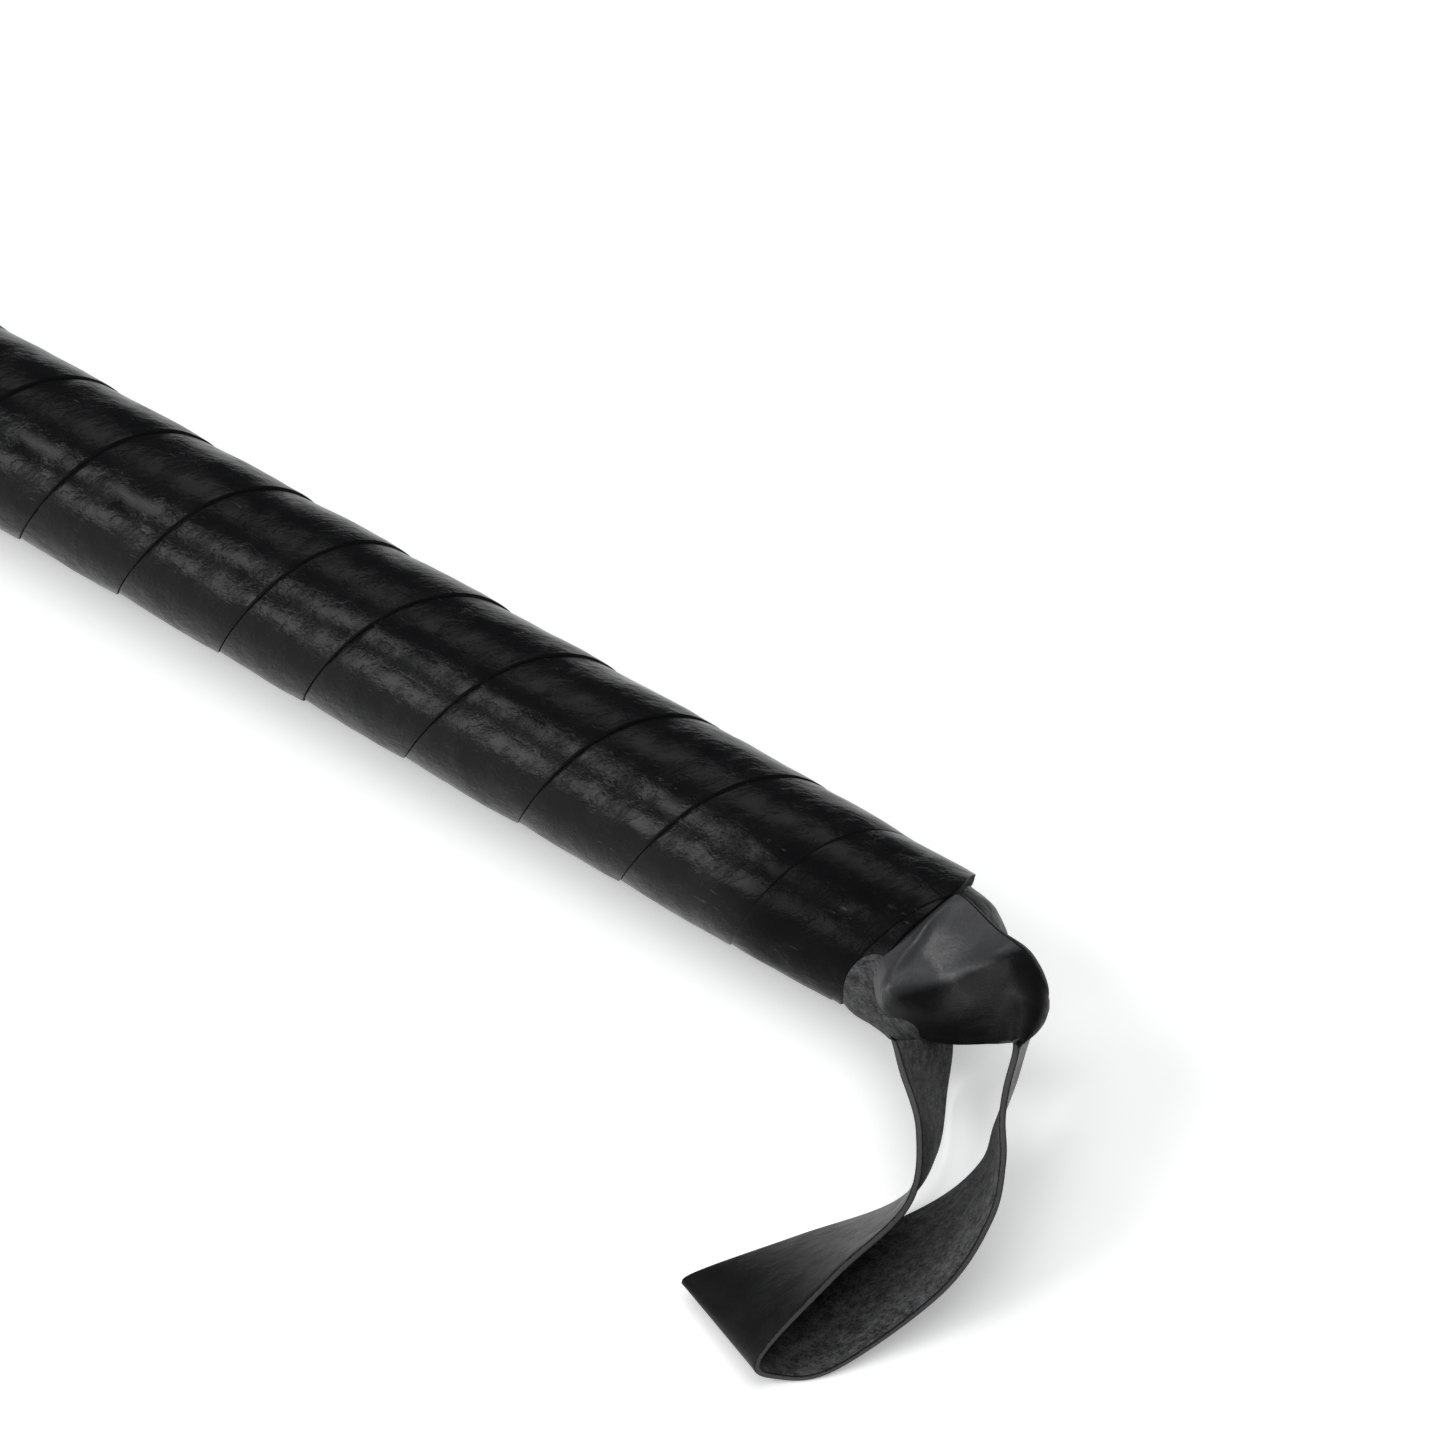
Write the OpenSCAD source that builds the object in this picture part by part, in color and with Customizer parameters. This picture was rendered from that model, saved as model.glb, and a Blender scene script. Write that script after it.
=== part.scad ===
// Short riding crop with a leather wound grip, a wrist loop and a leather tongue.
// The crop lies along X with its butt at +X and rests on the plane Z = 0.

/* [Overall] */

// Length from the butt end to the end of the tongue (mm)
crop_length = 500; // [400:10:640]

/* [Grip] */

// Diameter over the leather winding (mm)
grip_d = 14.8; // [14.4:0.1:16]
// Length of the wound grip (mm)
grip_length = 196; // [140:2:230]
// Advance of one leather strip in one turn (mm)
wrap_lead = 21.6; // [18:0.2:26]
// Thickness of the winding leather (mm)
wrap_t = 0.95; // [0.8:0.05:1]
// Width by which a strip laps over its neighbour (mm)
wrap_lap = 1.0; // [0.4:0.1:1.5]
// Flats around one turn of the winding
wrap_flats = 36; // [24:4:48]
// Distance from the butt end to the last seam on top of the grip (mm)
seam_x = 13.7; // [11:0.1:20]

/* [Rod and shaft] */

// Diameter of the glass fibre rod at the butt (mm)
rod_d = 7.0; // [6:0.1:7.4]
// Diameter of the rod at the tip (mm)
rod_tip_d = 4.0; // [3:0.1:4.6]
// Wall of the braided shaft cover (mm)
cover_t = 0.65; // [0.5:0.05:0.9]
// Straight length of the shaft in front of the collar (mm)
shaft_straight = 44; // [30:2:60]

/* [Front collar] */

// Length of the leather collar at the front of the grip (mm)
collar_length = 17; // [12:1:24]
// Number of cord turns beside the collar
collar_turns = 7; // [4:1:10]

/* [Wrist loop] */

// Width of the loop strap (mm)
strap_w = 11.4; // [10:0.2:12.4]
// Thickness of the loop strap (mm)
strap_t = 0.8; // [0.6:0.1:0.9]
// Steps along the loop between two of its stations
loop_steps = 3; // [2:1:5]

/* [Tongue] */

// Length of the free leather tongue (mm)
tongue_length = 62; // [45:1:80]
// Width of the tongue at its broad end (mm)
tongue_w = 26; // [20:1:34]
// Width of the tongue at the shaft (mm)
tongue_neck_w = 8.4; // [7:0.2:10]
// Thickness of one tongue leather (mm)
tongue_t = 1.3; // [1:0.1:1.8]
// Distance between two stitches (mm)
stitch_pitch = 3.2; // [2.4:0.2:5]
// Turns of the tip whipping
whip_turns = 22; // [14:1:28]
// Thickness of the whipping thread (mm)
whip_thread_d = 0.8; // [0.6:0.1:1]

/* [Part] */

// Part to show

/* [Hidden] */

$fn = 64;

// Glue gap between fitted parts
fit = 0.05;

// Radii of the grip's layers, from the winding inwards
grip_r = grip_d / 2;
wrap_in_r = grip_r - wrap_t;
layer_r = wrap_in_r - 0.05;
tail_out_r = layer_r - 0.45;
tail_in_r = tail_out_r - strap_t;
former_r = tail_in_r - 0.25;
rod_r = rod_d / 2;
rod_tip_r = rod_tip_d / 2;

// Height of the crop's axis over the surface it lies on
axis_z = grip_r;

// Places along the crop, measured from the butt end towards the tip
wrap_butt_x = -8.8;
wrap_butt_slant = 3.2;
wrap_slant_angle = 80;
wrap_front_x = -grip_length;
former_butt_x = -10;
rod_butt_x = -22;
padding_butt_x = -16.2;
tail_butt_x = -7;
tail_front_x = -36;
binding_x = [-30, -24];
tack_x = -14.6;
former_front_x = wrap_front_x + 3;
collar_front_x = wrap_front_x - collar_length;
cover_butt_x = wrap_front_x - 2;
taper_x = collar_front_x - shaft_straight;
tip_x = -(crop_length - tongue_length);
cover_tip_x = tip_x + 1.6;
whip_len = whip_turns * whip_thread_d;
whip_x = tip_x + 1.2;

// Radius of the tapered rod and cover at a place along the crop
function taper_at(x, r_full, r_end) =
    x > taper_x ? r_full : r_full + (r_end - r_full) * (taper_x - x) / (taper_x - tip_x);
cover_r = rod_r + fit + cover_t;
cover_tip_r = rod_tip_r + fit + cover_t;
function cover_r_at(x) = taper_at(x, cover_r, cover_tip_r);

// Stations of the loop strap, set by hand for a strap of the drawn width: near edge, far edge and how far its
// outer face bulges between them
loop_drawn_w = 11.4;
loop_stations = [
    [[-5, -6, 12], [-5, 1, 14.5], 1.5],
    [[-4, -8, 7.5], [-3, 1, 14.5], 3],
    [[0, -7.5, 7], [1, -0.5, 15], 2],
    [[4.5, -6, 8.5], [5, -1.5, 15.5], 2],
    [[7.5, -7.5, 12], [7.5, -2.5, 13], 1],
    [[9.5, -9.5, 14], [6, -3, 8], 0],
    [[10.5, -12, 12.5], [6.5, -5.5, 5], 0],
    [[12, -14.5, 12], [7.5, -9, 3.5], 0],
    [[14, -17, 10.5], [8.5, -12, 2.5], 0],
    [[15.5, -20.5, 8], [7.5, -16, 1], 0],
    [[15, -26, 4], [5, -22, 0.5], 0],
    [[11.5, -35, 0.5], [1.5, -29.5, 0.5], 0],
    [[8.5, -38.5, 0.5], [-1, -33.5, 0.5], 0],
    [[7.5, -39.5, 3], [-3, -35.5, 1.5], 0],
    [[9, -32, 7], [1, -26.5, 1], 0],
    [[10, -24, 9], [5, -18.5, 1], 0],
    [[6.5, -18, 10], [4, -12.5, 1], 0],
    [[1, -13.5, 9], [0.5, -6.5, 1], 0],
    [[-2, -10.5, 6.5], [0, -5, 3], 0]
];

// Directions in which the two anchored strap ends lie side by side around the grip
tail_span = 360 * strap_w / (2 * PI * (tail_in_r + strap_t / 2));
tail_b_angle = 138;
tail_a_angle = tail_b_angle + tail_span + 6;

// Catmull-Rom value between the second and third of four values
function spline(a, b, c, d, t) =
    0.5 * (2 * b + (c - a) * t + (2 * a - 5 * b + 4 * c - d) * t * t + (3 * b - a - 3 * c + d) * t * t * t);

// Item of a list with its index held inside the list
function held(list, i) = list[max(0, min(len(list) - 1, i))];

// Value of one column of the loop stations at step k
function loop_at(col, k) =
    let (i = floor(k / loop_steps), t = k / loop_steps - i)
    spline(held(loop_stations, i - 1)[col], held(loop_stations, i)[col],
           held(loop_stations, i + 1)[col], held(loop_stations, i + 2)[col], t);

loop_last = (len(loop_stations) - 1) * loop_steps;
function unit(v) = v / norm(v);

// Middle of the strap at step k and the face direction there
function loop_mid(k) = (loop_at(0, k) + loop_at(1, k)) / 2;
function loop_dir(k) = unit(loop_mid(min(loop_last, k + 0.5)) - loop_mid(max(0, k - 0.5)));
function loop_face(k) = unit(cross(unit(loop_at(1, k) - loop_at(0, k)), loop_dir(k)));

// Cross-section of the strap at step k: one face there, the other face back
cross_steps = 4;
function loop_row(k, side) = [
    for (j = [0:cross_steps])
        let (t = j / cross_steps, wide = strap_w / loop_drawn_w)
        loop_mid(k) + (loop_at(1, k) - loop_at(0, k)) * (t - 0.5) * wide
            + loop_face(k) * (side * strap_t / 2 - 4 * loop_at(2, k) * t * (1 - t))
];
function reversed(list) = [for (i = [len(list) - 1:-1:0]) list[i]];
loop_rings = [for (k = [0:loop_last]) concat(loop_row(k, 1), reversed(loop_row(k, -1)))];
loop_points = [for (ring = loop_rings) for (p = ring) p];
loop_lift = strap_t / 8 - min([for (p = loop_points) p.z]);

// Extents of the whole crop and the move that puts its origin under its middle
x_max = max([for (p = loop_points) p.x]);
y_min = min([for (p = loop_points) p.y]);
y_max = tongue_w / 2;
origin_shift = [(crop_length - x_max) / 2, -(y_min + y_max) / 2, 0];

// Faces of a tube of rings with flat ends, every four-sided face cut in two
function skin_faces(rings, n) = concat(
    [for (i = [0:rings - 2]) for (j = [0:n - 1])
        let (a = i * n + j, b = i * n + (j + 1) % n)
        for (f = [[a, b, b + n], [a, b + n, a + n]]) f],
    [for (j = [1:n - 2]) [0, j + 1, j]],
    [for (j = [1:n - 2]) let (o = (rings - 1) * n) [o, o + j, o + j + 1]]
);

// Faces of the loop strap, its ends cut across so that a bulged end stays closed
function ribbon_faces(rings, m) =
    let (n = 2 * m)
    concat(
        [for (i = [0:rings - 2]) for (j = [0:n - 1])
            let (a = i * n + j, b = i * n + (j + 1) % n)
            for (f = [[a, b, b + n], [a, b + n, a + n]]) f],
        [for (j = [0:m - 2]) for (f = [[j, n - 1 - j, j + 1], [j + 1, n - 1 - j, n - 2 - j]]) f],
        [for (j = [0:m - 2]) let (o = (rings - 1) * n)
            for (f = [[o + j, o + j + 1, o + n - 1 - j], [o + j + 1, o + n - 2 - j, o + n - 1 - j]]) f]
    );

// Moves a child from the crop's own place onto the surface, with the origin under its middle
module laid() {
    translate(origin_shift) children();
}

// Puts a child on the crop's axis
module on_axis() {
    laid() translate([0, 0, axis_z]) children();
}

// Body turned about the crop's axis from points of place and radius
module turned(points) {
    on_axis() rotate([0, 90, 0]) rotate_extrude() polygon([for (p = points) [p[1], p[0]]]);
}

// Plain tube or rod along the crop's axis
module tube(x0, x1, r_out, r_in = 0) {
    on_axis() translate([min(x0, x1), 0, 0]) rotate([0, 90, 0]) difference() {
        cylinder(h = abs(x1 - x0), r = r_out);
        if (r_in > 0) translate([0, 0, -1]) cylinder(h = abs(x1 - x0) + 2, r = r_in);
    }
}

// Curved plate along the axis: part of a tube over a span of degrees about a middle direction
module tube_part(x0, x1, r_out, r_in, middle, span) {
    on_axis() translate([min(x0, x1), 0, 0]) rotate([middle - span / 2, 0, 0])
        rotate([0, 90, 0]) rotate([0, 0, 90]) rotate_extrude(angle = span)
            translate([r_in, 0]) square([r_out - r_in, abs(x1 - x0)]);
}

// Room for an anchored strap end, slightly larger than the strap
module tail_pocket(middle) {
    tube_part(tail_front_x - 0.2, 1, layer_r + 1, tail_in_r - fit, middle, tail_span + 1.6);
}

module core_rod() color("#d8d4c4") turned([
    [rod_butt_x, 0], [rod_butt_x, rod_r - 0.4], [rod_butt_x - 0.4, rod_r],
    [taper_x, rod_r], [tip_x, rod_tip_r], [tip_x, 0]
]);

module grip_former() color("#3a3a3c") difference() {
    tube(former_butt_x, former_front_x, former_r, rod_r + fit);
    tack_holes(0.65);
}

module butt_plug() color("#8a6f4d") turned([
    [rod_butt_x + 0.5, 0], [rod_butt_x + 0.5, rod_r - 0.6], [rod_butt_x + 1.1, rod_r - 0.1],
    [former_butt_x + fit, rod_r - 0.1], [former_butt_x + fit, 4.6], [former_butt_x + 3.2, 4.6],
    [former_butt_x + 4.4, 3.6], [former_butt_x + 4.4, 0]
]);

// Leather cap over the end of the former, domed towards the butt
module butt_cap() color("#232325") difference() {
    turned(concat(
        [[padding_butt_x + fit, former_r + fit], [padding_butt_x + fit, layer_r]],
        [for (a = [90:-6:0]) [-6 + 6 * cos(a), layer_r * sin(a)]],
        [[-5.4, 0], [-5.4, 3.6], [former_butt_x + 3.3, 4.65], [former_butt_x, 4.65],
         [former_butt_x, former_r + fit]]
    ));
    tail_pocket(tail_a_angle);
    tail_pocket(tail_b_angle);
    tack_holes(0.65);
}

module grip_padding() color("#4a4a4c") difference() {
    tube(padding_butt_x, former_front_x, layer_r, former_r + fit);
    tail_pocket(tail_a_angle);
    tail_pocket(tail_b_angle);
    tube(binding_x[0] - fit, binding_x[1] + fit, layer_r + 1, tail_out_r);
}

// Anchored end of the loop strap, laid along the former under the winding
module strap_tail(middle) {
    difference() {
        tube_part(tail_front_x, tail_butt_x, tail_out_r - 0.04, tail_in_r, middle, tail_span);
        tack_holes(0.65);
    }
}
module strap_tail_a() color("#2b2b2d") strap_tail(tail_a_angle);
module strap_tail_b() color("#2b2b2d") strap_tail(tail_b_angle);

// Holes for the two tacks
module tack_holes(r) {
    for (a = [tail_a_angle, tail_b_angle]) on_axis() translate([tack_x, 0, 0])
        rotate([a - 90, 0, 0]) cylinder(h = 12, r = r, $fn = 32);
}

// Two flat-headed tacks through the strap ends into the former
module strap_tacks() color("#b9b4a6") {
    for (a = [tail_a_angle, tail_b_angle]) on_axis() translate([tack_x, 0, 0]) rotate([a - 90, 0, 0]) {
        translate([0, 0, rod_r + 0.2]) cylinder(h = tail_out_r - rod_r - 0.2, r = 0.55, $fn = 32);
        translate([0, 0, tail_out_r - 0.01]) cylinder(h = 0.25, r = 1.5, $fn = 32);
    }
}

// Thread wound over the strap ends, one ridge for each turn
module tail_binding() color("#6c6458") {
    thread_r = (layer_r - tail_out_r) / 2 - 0.01;
    turns = floor((binding_x[1] - binding_x[0]) / (2 * thread_r) - 0.5);
    wound(binding_x[0] + thread_r, turns, thread_r, tail_out_r + 0.01);
}

// Close winding of a round thread on a sleeve of radius r
module wound(x, turns, thread_r, r) {
    on_axis() rotate([0, 90, 0]) rotate_extrude() {
        for (i = [0:turns - 1])
            translate([r + thread_r, x + i * 1.92 * thread_r]) circle(r = thread_r, $fn = 16);
        translate([r, x]) square([thread_r, (turns - 1) * 1.92 * thread_r]);
    }
}

// One leather strip of the winding, its tip-side neighbour lapping over it
wrap_w = wrap_lead / 2 - 0.06;
wrap_turns = ceil(grip_length / wrap_lead) + 1;
wrap_x0 = -seam_x - wrap_turns * wrap_lead - wrap_w - wrap_lap;
function wrap_stop(x, angle) = max(wrap_front_x,
    min(wrap_butt_x + wrap_butt_slant * cos(90 - angle - wrap_slant_angle), x));
function wrap_row(angle, start) =
    let (s = wrap_x0 + start + wrap_lead * angle / 360)
    [for (p = [[s, wrap_in_r], [s + wrap_w, wrap_in_r],
               [s + wrap_w + wrap_lap, grip_r], [s + wrap_lap, grip_r]])
        [wrap_stop(p[0], angle), p[1] * cos(90 - angle), axis_z + p[1] * sin(90 - angle)]];
function wrap_wide(angle, start) =
    let (s = wrap_x0 + start + wrap_lead * angle / 360)
    wrap_stop(s + wrap_w, angle) - wrap_stop(s + wrap_lap, angle) > 0.5;

module wrap_strip(start) {
    rows = [
        for (i = [0:(wrap_turns + 2) * wrap_flats])
            let (angle = i * 360 / wrap_flats)
            if (wrap_wide(angle, start)) wrap_row(angle, start)
    ];
    laid() polyhedron([for (row = rows) for (p = row) p], skin_faces(len(rows), 4), convexity = 10);
}
module wrap_strip_a() color("#1e1e20") wrap_strip(0);
module wrap_strip_b() color("#262628") wrap_strip(wrap_lead / 2);

// Free part of the wrist strap
module wrist_loop() color("#2f2f31")
    laid() translate([0, 0, loop_lift])
        polyhedron(loop_points, ribbon_faces(len(loop_rings), cross_steps + 1), convexity = 10);

// Filler that brings the grip's front end down to the shaft
module front_filler() color("#55504a") turned([
    [former_front_x - fit, cover_r + fit], [former_front_x - fit, layer_r],
    [collar_front_x + 9, layer_r - 0.5], [collar_front_x + 3, cover_r + 0.7],
    [collar_front_x + 1, cover_r + fit]
]);

// Leather collar over the filler and the strips' ends
module front_collar() color("#19191a") turned([
    [wrap_front_x - fit, layer_r + 0.1], [wrap_front_x - fit, grip_r - 0.3],
    [wrap_front_x - 0.6, grip_r - 0.02], [wrap_front_x - 3, grip_r - 0.02],
    [collar_front_x + 5, grip_r - 0.9], [collar_front_x + 1.2, cover_r + 1.9],
    [collar_front_x, cover_r + 1.2], [collar_front_x, cover_r + fit],
    [collar_front_x + 0.9, cover_r + fit], [collar_front_x + 3, cover_r + 0.8],
    [collar_front_x + 9, layer_r - 0.4]
]);

// Cord turns that close the collar on the shaft
module collar_cord() color("#141415")
    wound(cord_x, collar_turns, 0.5, cover_r + fit);

// Braided sleeve over the rod, drawn ever tighter under the cord and the collar
cord_x = collar_front_x - 0.55 - (collar_turns - 1) * 0.96;
module shaft_cover() color("#202022") turned([
    [cover_butt_x, rod_r + fit], [cover_butt_x, rod_r + 0.3], [cord_x - 1, cover_r - 0.1],
    [cord_x - 1, cover_r], [taper_x, cover_r],
    [cover_tip_x, cover_r_at(cover_tip_x)], [cover_tip_x, taper_at(cover_tip_x, rod_r, rod_tip_r) + fit],
    [taper_x, rod_r + fit]
]);

// Brass cap over the rod's tip
module tip_cap() color("#b08d4a") turned([
    [cover_tip_x - fit, taper_at(cover_tip_x, rod_r, rod_tip_r) + fit], [cover_tip_x - fit, cover_tip_r],
    [tip_x - 0.6, cover_tip_r], [tip_x - 1, cover_tip_r - 0.5], [tip_x - 1, 0],
    [tip_x - fit, 0], [tip_x - fit, rod_tip_r + fit]
]);

// Leather tabs of the tongue that lie on the shaft under the whipping
tab_in_r = cover_r_at(whip_x + whip_len + 2) + fit;
tab_out_r = tab_in_r + 0.9;
module tongue_tab_top() color("#1b1b1c")
    tube_part(tip_x - 0.8, whip_x + whip_len + 2, tab_out_r, tab_in_r, 90, 150);
module tongue_tab_bottom() color("#1b1b1c")
    tube_part(tip_x - 0.8, whip_x + whip_len + 2, tab_out_r, tab_in_r, 270, 150);

// Waxed thread that binds the tabs to the shaft
module tip_whipping() color("#101011")
    wound(whip_x, whip_turns, whip_thread_d / 2, tab_out_r + fit);

// Outline of the tongue seen from above
tongue_x0 = tip_x - 2.2;
tongue_corner = tongue_w * 0.28;
tongue_side = concat(
    [[tongue_x0, tongue_neck_w / 2]],
    [for (t = [0:0.125:1]) [tongue_x0 - 5 - t * tongue_length * 0.42,
        tongue_neck_w / 2 + (tongue_w - tongue_neck_w) / 4 * (1 - cos(180 * t))]],
    [for (a = [0:15:90]) [tongue_corner - crop_length - tongue_corner * sin(a),
        tongue_w / 2 - tongue_corner * (1 - cos(a))]]
);
module tongue_outline() {
    polygon(concat(tongue_side, [for (p = reversed(tongue_side)) [p[0], -p[1]]]));
}

// One leaf of the tongue, lying on the middle plane or under it
module tongue_leaf(side) {
    on_axis() difference() {
        translate([0, 0, side > 0 ? 0.03 : -0.03 - tongue_t]) linear_extrude(tongue_t) tongue_outline();
        stitch_holes();
    }
}
module tongue_top() color("#1c1c1e") tongue_leaf(1);
module tongue_bottom() color("#1c1c1e") tongue_leaf(-1);

// Places of the stitches: both sides and the broad end
stitch_y = tongue_w / 2 - 2.2;
stitch_x0 = tip_x - tongue_length * 0.54;
stitch_rows = floor((crop_length + stitch_x0 - tongue_w * 0.3 - 1) / stitch_pitch);
end_rows = floor((tongue_w - 0.6 * tongue_w - 1) / stitch_pitch);
function stitch_places() = concat(
    [for (i = [0:stitch_rows]) for (s = [-1, 1]) [stitch_x0 - i * stitch_pitch, s * stitch_y, 0]],
    [for (i = [-end_rows / 2:end_rows / 2]) [2.2 - crop_length, i * stitch_pitch, 90]]
);
stitch_len = stitch_pitch * 0.72;

module stitch_holes() {
    for (p = stitch_places()) for (e = [-0.5, 0.5])
        translate([p[0], p[1], -2 * tongue_t]) rotate([0, 0, p[2]]) translate([e * stitch_len, 0, 0])
            cylinder(h = 4 * tongue_t, r = 0.32, $fn = 12);
}

// Stitches of waxed thread: a staple on each face joined through its two holes
module tongue_stitching() color("#3c3a36") on_axis() {
    for (p = stitch_places()) translate([p[0], p[1], 0]) rotate([0, 0, p[2]]) {
        for (e = [-0.5, 0.5]) translate([e * stitch_len, 0, -tongue_t - 0.3])
            cylinder(h = 2 * tongue_t + 0.6, r = 0.26, $fn = 12);
        for (s = [-1, 1]) translate([0, 0, s * (tongue_t + 0.32)]) rotate([0, 90, 0])
            cylinder(h = stitch_len + 0.5, r = 0.26, center = true, $fn = 12);
    }
}

core_rod();
grip_former();
grip_padding();
butt_plug();
butt_cap();
strap_tail_a();
strap_tail_b();
strap_tacks();
tail_binding();
wrap_strip_a();
wrap_strip_b();
wrist_loop();
front_filler();
front_collar();
collar_cord();
shaft_cover();
tip_cap();
tongue_tab_top();
tongue_tab_bottom();
tip_whipping();
tongue_top();
tongue_bottom();
tongue_stitching();
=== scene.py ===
import math

import bmesh
import bpy
import numpy as np
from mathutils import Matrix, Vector, noise


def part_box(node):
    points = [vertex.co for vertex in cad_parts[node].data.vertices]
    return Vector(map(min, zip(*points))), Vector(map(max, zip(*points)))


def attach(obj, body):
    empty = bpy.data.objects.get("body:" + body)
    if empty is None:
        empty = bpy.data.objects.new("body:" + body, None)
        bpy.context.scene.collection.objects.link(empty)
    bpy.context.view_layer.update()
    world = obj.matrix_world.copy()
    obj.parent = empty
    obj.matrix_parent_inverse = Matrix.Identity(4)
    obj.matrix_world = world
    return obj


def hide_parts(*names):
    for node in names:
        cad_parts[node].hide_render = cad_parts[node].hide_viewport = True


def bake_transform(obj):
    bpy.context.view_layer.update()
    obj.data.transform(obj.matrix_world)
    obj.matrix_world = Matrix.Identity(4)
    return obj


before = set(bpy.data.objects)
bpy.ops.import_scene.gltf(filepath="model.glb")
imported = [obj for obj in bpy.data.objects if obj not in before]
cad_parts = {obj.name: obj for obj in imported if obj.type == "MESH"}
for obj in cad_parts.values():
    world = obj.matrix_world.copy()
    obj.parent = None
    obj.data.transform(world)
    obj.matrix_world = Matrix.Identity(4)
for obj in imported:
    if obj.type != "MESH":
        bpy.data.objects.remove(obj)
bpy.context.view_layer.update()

MM = 0.001

# The crop's own frame in millimetres: x = 0 at the butt end with the tip at -x, y = 0 on the axis, z = 0 the
# surface it lies on
rod_lo, rod_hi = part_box("core_rod")
SHIFT = np.array([rod_hi.x / MM + 22.0, (rod_lo.y + rod_hi.y) / 2 / MM, 0.0])
AXIS_Z = (rod_lo.z + rod_hi.z) / 2 / MM
GRIP_R = AXIS_Z
WRAP_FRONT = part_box("wrap_strip_a")[0].x / MM - SHIFT[0]
COLLAR_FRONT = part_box("front_collar")[0].x / MM - SHIFT[0]
CORD_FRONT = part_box("collar_cord")[0].x / MM - SHIFT[0]
COVER_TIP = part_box("shaft_cover")[0].x / MM - SHIFT[0]
COVER_R = (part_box("shaft_cover")[1].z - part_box("shaft_cover")[0].z) / 2 / MM
TAPER_X = COLLAR_FRONT - 44.0
TIP_X = COVER_TIP - 1.6
TIP_R = 2.7
CROP_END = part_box("tongue_top")[0].x / MM - SHIFT[0]
WHIP_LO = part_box("tip_whipping")[0].x / MM - SHIFT[0]
WHIP_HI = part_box("tip_whipping")[1].x / MM - SHIFT[0]
TAB_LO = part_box("tongue_tab_top")[0].x / MM - SHIFT[0]


def P(x, y=0.0, z=AXIS_Z):
    """A point of the crop's own frame, in the row frame in metres."""
    return Vector(((x + SHIFT[0]) * MM, (y + SHIFT[1]) * MM, z * MM))


def smooth(a, b, t):
    t = np.clip((t - a) / (b - a), 0, 1)
    return t * t * (3 - 2 * t)


def fbm(x, y, z, octaves):
    return noise.fractal(Vector((x, y, z)), 1.0, 2.0, octaves, noise_basis="PERLIN_ORIGINAL")


# ---------------------------------------------------------------- materials

def material(name):
    m = bpy.data.materials.new(name)
    m.use_nodes = True
    nt = m.node_tree
    return m, nt, nt.nodes["Principled BSDF"]


def node(nt, kind, **values):
    n = nt.nodes.new(kind)
    for k, v in values.items():
        setattr(n, k, v)
    return n


def coords(nt, scale=(1, 1, 1)):
    """Place in the object's own frame, in metres."""
    tc = node(nt, "ShaderNodeTexCoord")
    mp = node(nt, "ShaderNodeMapping")
    mp.inputs["Scale"].default_value = scale
    nt.links.new(tc.outputs["Object"], mp.inputs["Vector"])
    return mp.outputs["Vector"]


def strap_coords(nt, scale=(1, 1, 1)):
    """Place on a strip of leather: along it, across it and which face, in millimetres."""
    at = node(nt, "ShaderNodeAttribute", attribute_name="strip")
    mp = node(nt, "ShaderNodeMapping")
    mp.inputs["Scale"].default_value = scale
    nt.links.new(at.outputs["Vector"], mp.inputs["Vector"])
    return mp.outputs["Vector"]


def noise_tex(nt, vector, scale, detail, rough, distortion=0.0):
    n = node(nt, "ShaderNodeTexNoise")
    n.inputs["Scale"].default_value = scale
    n.inputs["Detail"].default_value = detail
    n.inputs["Roughness"].default_value = rough
    n.inputs["Distortion"].default_value = distortion
    nt.links.new(vector, n.inputs["Vector"])
    return n.outputs["Fac"]


def cells(nt, vector, scale):
    """Distance to the nearest border of a cell."""
    n = node(nt, "ShaderNodeTexVoronoi", feature="DISTANCE_TO_EDGE")
    n.inputs["Scale"].default_value = scale
    nt.links.new(vector, n.inputs["Vector"])
    return n.outputs["Distance"]


def ramp(nt, fac, stops):
    r = node(nt, "ShaderNodeValToRGB")
    el = r.color_ramp.elements
    while len(el) < len(stops):
        el.new(0.5)
    for e, (pos, val) in zip(el, stops):
        e.position = pos
        e.color = (*val, 1) if isinstance(val, tuple) else (val, val, val, 1)
    nt.links.new(fac, r.inputs["Fac"])
    return r.outputs["Color"]


def maths(nt, op, a, b=None):
    n = node(nt, "ShaderNodeMath", operation=op)
    for i, v in enumerate((a, b)):
        if v is None:
            continue
        if isinstance(v, (int, float)):
            n.inputs[i].default_value = v
        else:
            nt.links.new(v, n.inputs[i])
    return n.outputs[0]


def mix_color(nt, fac, a, b):
    n = node(nt, "ShaderNodeMix", data_type="RGBA")
    for i, v in ((0, fac), (6, a), (7, b)):
        if isinstance(v, (int, float)):
            n.inputs[i].default_value = v
        elif isinstance(v, tuple):
            n.inputs[i].default_value = (*v, 1)
        else:
            nt.links.new(v, n.inputs[i])
    return n.outputs[2]


def bump(nt, height, strength, distance, normal=None):
    b = node(nt, "ShaderNodeBump")
    b.inputs["Strength"].default_value = strength
    b.inputs["Distance"].default_value = distance
    nt.links.new(height, b.inputs["Height"])
    if normal is not None:
        nt.links.new(normal, b.inputs["Normal"])
    return b.outputs["Normal"]


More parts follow.
